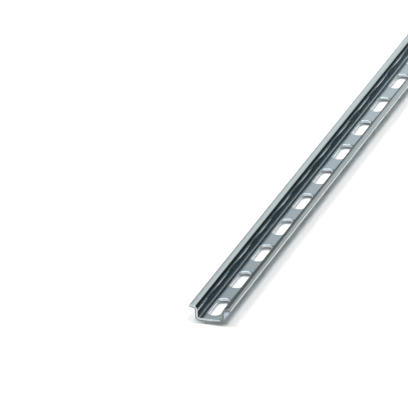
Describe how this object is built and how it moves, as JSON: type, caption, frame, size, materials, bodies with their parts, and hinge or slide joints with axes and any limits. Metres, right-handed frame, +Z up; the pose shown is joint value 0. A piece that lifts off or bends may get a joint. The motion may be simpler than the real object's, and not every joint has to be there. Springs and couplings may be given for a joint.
{
  "type": "din rail",
  "caption": "Mini top-hat DIN rail in bright zinc-plated steel, open side up, with a row of long screw slots along its web.",
  "frame": {"origin": "centre of the rail's bounding box in plan, at the web's underside, on which it lies", "axes": "+X across the rail, +Y along the rail, +Z up, from the web towards the open side and the flanges"},
  "size_m": [0.015, 1, 0.0055],
  "materials": {
    "zinc_steel": "bright zinc plating, smooth and glossy"
  },
  "bodies": {
    "root": {"rail": "zinc_steel"}
  },
  "joints": []
}
